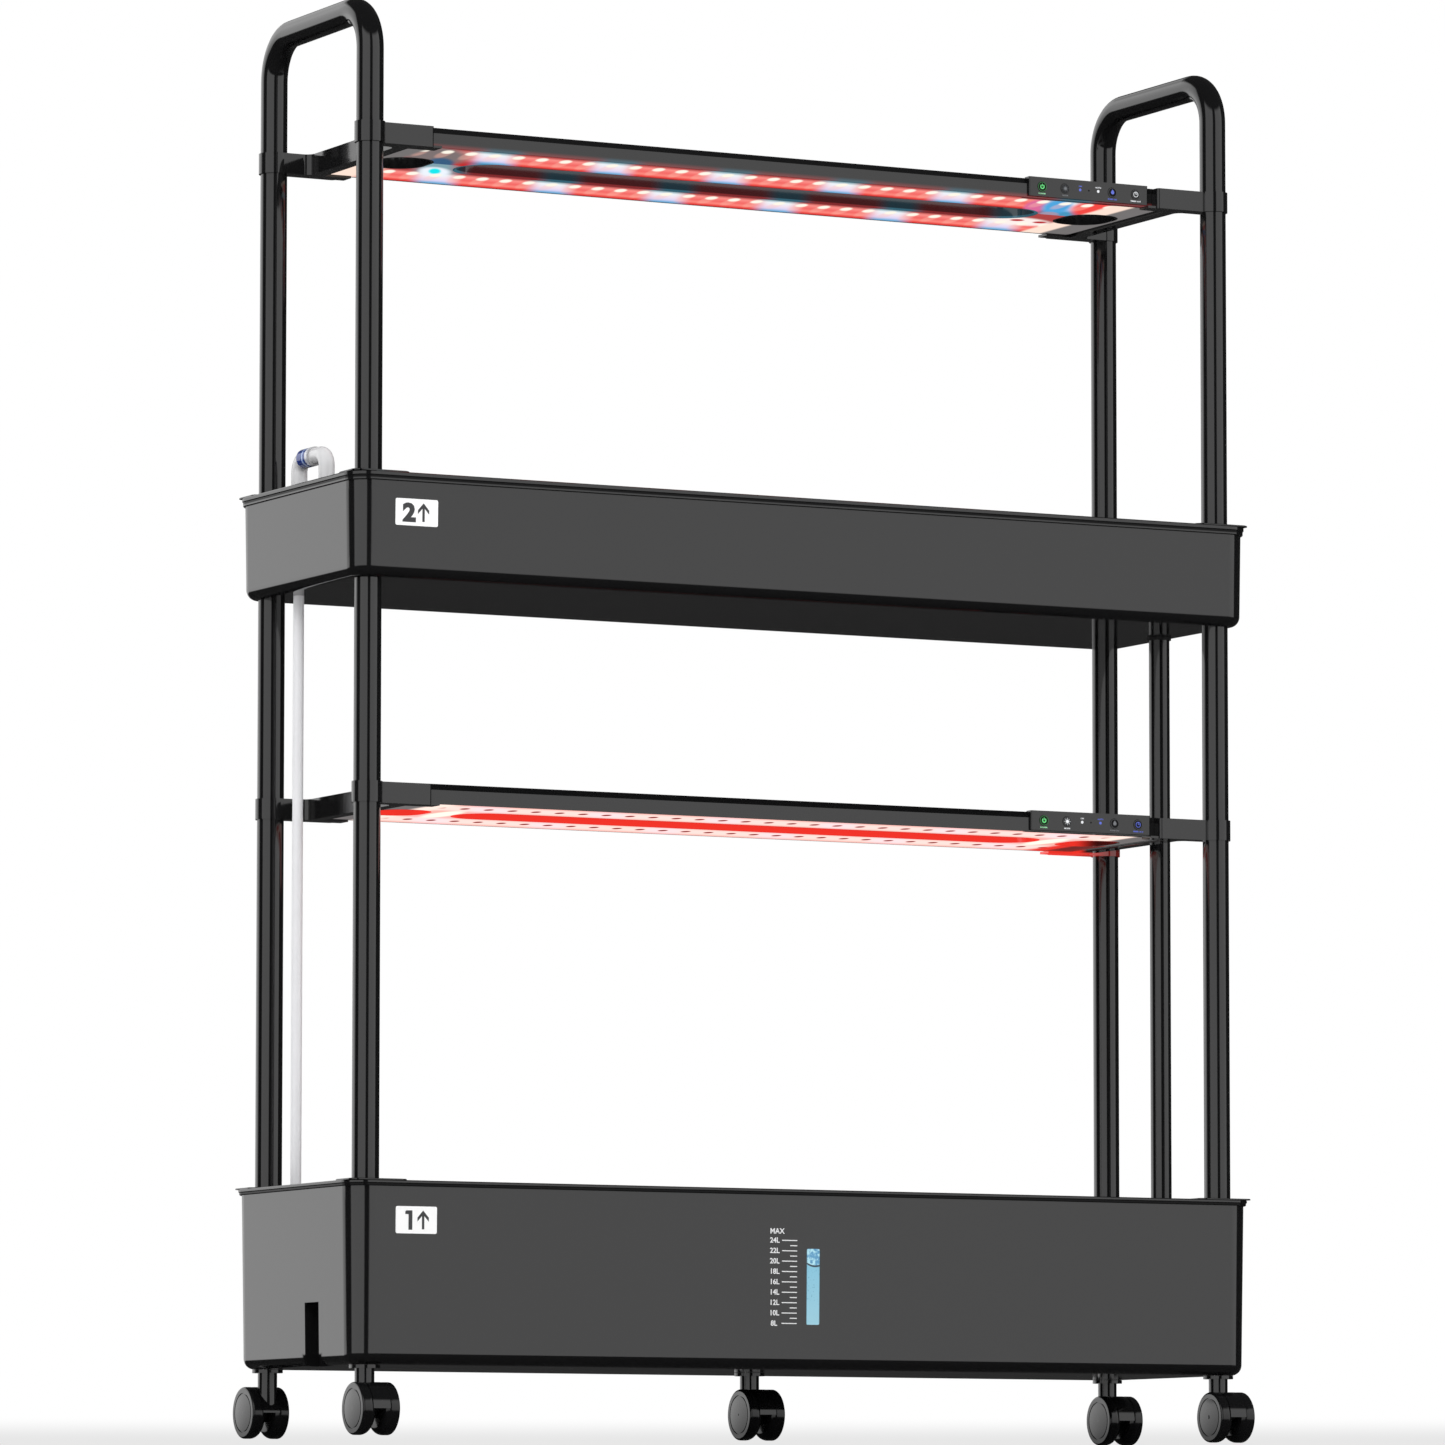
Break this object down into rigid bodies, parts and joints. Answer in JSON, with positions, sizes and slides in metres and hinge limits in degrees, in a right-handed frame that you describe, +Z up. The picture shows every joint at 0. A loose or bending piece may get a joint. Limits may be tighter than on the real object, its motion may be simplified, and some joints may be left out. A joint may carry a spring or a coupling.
{
  "type": "hydroponic growing system",
  "caption": "Two-tier indoor planter: reservoir tank and growing tray on tube posts with LED lamps, net baskets, pump, riser, overflow and twin-wheel casters.",
  "frame": {"origin": "on the floor, under the middle of the stand", "axes": "+X along the length to the right seen from the front, front faces -Y, +Z up"},
  "size_m": [0.953, 0.287, 1.325],
  "materials": {
    "tub_plastic": "smooth satin black moulded plastic",
    "deck_plastic": "smooth satin black moulded plastic",
    "black_tube": "steel tube with a satin black powder coat",
    "lamp_plastic": "satin black moulded plastic",
    "bracket_plastic": "satin black moulded plastic",
    "panel_plastic": "matt black panel with printed marks",
    "button_plastic": "glossy dark caps, lit from behind",
    "led_board": "white solder mask with yellow-white chips",
    "lamp_diffuser": "clear sheet",
    "clear_window": "clear strip",
    "pump_plastic": "black moulded plastic",
    "milky_tube": "milky translucent tube",
    "white_fitting": "white moulded elbows",
    "blue_ring": "blue and white ribbed ring",
    "pipe_plastic": "black extruded pipe",
    "seal_rubber": "black rubber",
    "basket_plastic": "black moulded net baskets",
    "sponge_foam": "dark open-cell foam",
    "caster_plastic": "glossy black hood and neck",
    "wheel_plastic": "glossy black wheels"
  },
  "bodies": {
    "stand": {"reservoir_tank": "tub_plastic", "upper_tray": "tub_plastic", "reservoir_deck": "deck_plastic", "upper_deck": "deck_plastic", "lower_corner_plates": "deck_plastic", "upper_corner_plates": "deck_plastic", "post_front_left": "black_tube", "post_front_right": "black_tube", "post_rear_left": "black_tube", "post_rear_right": "black_tube", "handle_loop_left": "black_tube", "handle_loop_right": "black_tube", "level_window": "clear_window", "pump": "pump_plastic", "riser_tube": "milky_tube", "riser_elbows": "white_fitting", "coupling_ring": "blue_ring", "drain_pipe": "pipe_plastic", "overflow_strainer": "pipe_plastic", "drain_seal": "seal_rubber", "lower_net_baskets": "basket_plastic", "lower_grow_sponges": "sponge_foam", "lower_lamp_housing": "lamp_plastic", "lower_led_board": "led_board", "lower_diffuser": "lamp_diffuser", "lower_control_panel": "panel_plastic", "lower_bracket_left": "bracket_plastic", "lower_bracket_right": "bracket_plastic", "upper_net_baskets": "basket_plastic", "upper_grow_sponges": "sponge_foam", "upper_lamp_housing": "lamp_plastic", "upper_led_board": "led_board", "upper_diffuser": "lamp_diffuser", "upper_control_panel": "panel_plastic", "upper_bracket_left": "bracket_plastic", "upper_bracket_right": "bracket_plastic"},
    "swivel_front_left": {"caster_front_left": "caster_plastic"},
    "wheel_front_left_left": {"caster_front_left_wheel_left": "wheel_plastic"},
    "wheel_front_left_right": {"caster_front_left_wheel_right": "wheel_plastic"},
    "swivel_front_right": {"caster_front_right": "caster_plastic"},
    "wheel_front_right_left": {"caster_front_right_wheel_left": "wheel_plastic"},
    "wheel_front_right_right": {"caster_front_right_wheel_right": "wheel_plastic"},
    "swivel_rear_left": {"caster_rear_left": "caster_plastic"},
    "wheel_rear_left_left": {"caster_rear_left_wheel_left": "wheel_plastic"},
    "wheel_rear_left_right": {"caster_rear_left_wheel_right": "wheel_plastic"},
    "swivel_rear_right": {"caster_rear_right": "caster_plastic"},
    "wheel_rear_right_left": {"caster_rear_right_wheel_left": "wheel_plastic"},
    "wheel_rear_right_right": {"caster_rear_right_wheel_right": "wheel_plastic"},
    "swivel_centre": {"caster_centre": "caster_plastic"},
    "wheel_centre_left": {"caster_centre_wheel_left": "wheel_plastic"},
    "wheel_centre_right": {"caster_centre_wheel_right": "wheel_plastic"},
    "lower_power_button": {"lower_button_power": "button_plastic"},
    "lower_mode_button": {"lower_button_mode": "button_plastic"},
    "lower_pump_button": {"lower_button_pump": "button_plastic"},
    "lower_timer_button": {"lower_button_timer": "button_plastic"},
    "upper_power_button": {"upper_button_power": "button_plastic"},
    "upper_mode_button": {"upper_button_mode": "button_plastic"},
    "upper_pump_button": {"upper_button_pump": "button_plastic"},
    "upper_timer_button": {"upper_button_timer": "button_plastic"}
  },
  "joints": [
    {"name": "swivel_front_left", "type": "hinge", "parent": "stand", "child": "swivel_front_left", "pos_m": [-0.45, -0.1055, 0.064], "axis": [0, 0, 1], "continuous": true},
    {"name": "spin_front_left_left", "type": "hinge", "parent": "swivel_front_left", "child": "wheel_front_left_left", "pos_m": [-0.45, -0.1195, 0.024], "axis": [1, 0, 0], "continuous": true},
    {"name": "spin_front_left_right", "type": "hinge", "parent": "swivel_front_left", "child": "wheel_front_left_right", "pos_m": [-0.45, -0.1195, 0.024], "axis": [1, 0, 0], "continuous": true},
    {"name": "swivel_front_right", "type": "hinge", "parent": "stand", "child": "swivel_front_right", "pos_m": [0.45, -0.1055, 0.064], "axis": [0, 0, 1], "continuous": true},
    {"name": "spin_front_right_left", "type": "hinge", "parent": "swivel_front_right", "child": "wheel_front_right_left", "pos_m": [0.45, -0.1195, 0.024], "axis": [1, 0, 0], "continuous": true},
    {"name": "spin_front_right_right", "type": "hinge", "parent": "swivel_front_right", "child": "wheel_front_right_right", "pos_m": [0.45, -0.1195, 0.024], "axis": [1, 0, 0], "continuous": true},
    {"name": "swivel_rear_left", "type": "hinge", "parent": "stand", "child": "swivel_rear_left", "pos_m": [-0.45, 0.1055, 0.064], "axis": [0, 0, 1], "continuous": true},
    {"name": "spin_rear_left_left", "type": "hinge", "parent": "swivel_rear_left", "child": "wheel_rear_left_left", "pos_m": [-0.45, 0.1195, 0.024], "axis": [1, 0, 0], "continuous": true},
    {"name": "spin_rear_left_right", "type": "hinge", "parent": "swivel_rear_left", "child": "wheel_rear_left_right", "pos_m": [-0.45, 0.1195, 0.024], "axis": [1, 0, 0], "continuous": true},
    {"name": "swivel_rear_right", "type": "hinge", "parent": "stand", "child": "swivel_rear_right", "pos_m": [0.45, 0.1055, 0.064], "axis": [0, 0, 1], "continuous": true},
    {"name": "spin_rear_right_left", "type": "hinge", "parent": "swivel_rear_right", "child": "wheel_rear_right_left", "pos_m": [0.45, 0.0915, 0.024], "axis": [1, 0, 0], "continuous": true},
    {"name": "spin_rear_right_right", "type": "hinge", "parent": "swivel_rear_right", "child": "wheel_rear_right_right", "pos_m": [0.45, 0.0915, 0.024], "axis": [1, 0, 0], "continuous": true},
    {"name": "swivel_centre", "type": "hinge", "parent": "stand", "child": "swivel_centre", "pos_m": [0, 0, 0.064], "axis": [0, 0, 1], "continuous": true},
    {"name": "spin_centre_left", "type": "hinge", "parent": "swivel_centre", "child": "wheel_centre_left", "pos_m": [0, -0.014, 0.024], "axis": [1, 0, 0], "continuous": true},
    {"name": "spin_centre_right", "type": "hinge", "parent": "swivel_centre", "child": "wheel_centre_right", "pos_m": [0, -0.014, 0.024], "axis": [1, 0, 0], "continuous": true},
    {"name": "press_lower_power", "type": "slide", "parent": "stand", "child": "lower_power_button", "axis": [0, 1, 0], "range_m": [0, 0.0008], "stiffness_N_per_m": 1200, "springref_m": -0.0005},
    {"name": "press_lower_mode", "type": "slide", "parent": "stand", "child": "lower_mode_button", "axis": [0, 1, 0], "range_m": [0, 0.0008], "stiffness_N_per_m": 1200, "springref_m": -0.0005},
    {"name": "press_lower_pump", "type": "slide", "parent": "stand", "child": "lower_pump_button", "axis": [0, 1, 0], "range_m": [0, 0.0008], "stiffness_N_per_m": 1200, "springref_m": -0.0005},
    {"name": "press_lower_timer", "type": "slide", "parent": "stand", "child": "lower_timer_button", "axis": [0, 1, 0], "range_m": [0, 0.0008], "stiffness_N_per_m": 1200, "springref_m": -0.0005},
    {"name": "press_upper_power", "type": "slide", "parent": "stand", "child": "upper_power_button", "axis": [0, 1, 0], "range_m": [0, 0.0008], "stiffness_N_per_m": 1200, "springref_m": -0.0005},
    {"name": "press_upper_mode", "type": "slide", "parent": "stand", "child": "upper_mode_button", "axis": [0, 1, 0], "range_m": [0, 0.0008], "stiffness_N_per_m": 1200, "springref_m": -0.0005},
    {"name": "press_upper_pump", "type": "slide", "parent": "stand", "child": "upper_pump_button", "axis": [0, 1, 0], "range_m": [0, 0.0008], "stiffness_N_per_m": 1200, "springref_m": -0.0005},
    {"name": "press_upper_timer", "type": "slide", "parent": "stand", "child": "upper_timer_button", "axis": [0, 1, 0], "range_m": [0, 0.0008], "stiffness_N_per_m": 1200, "springref_m": -0.0005}
  ]
}
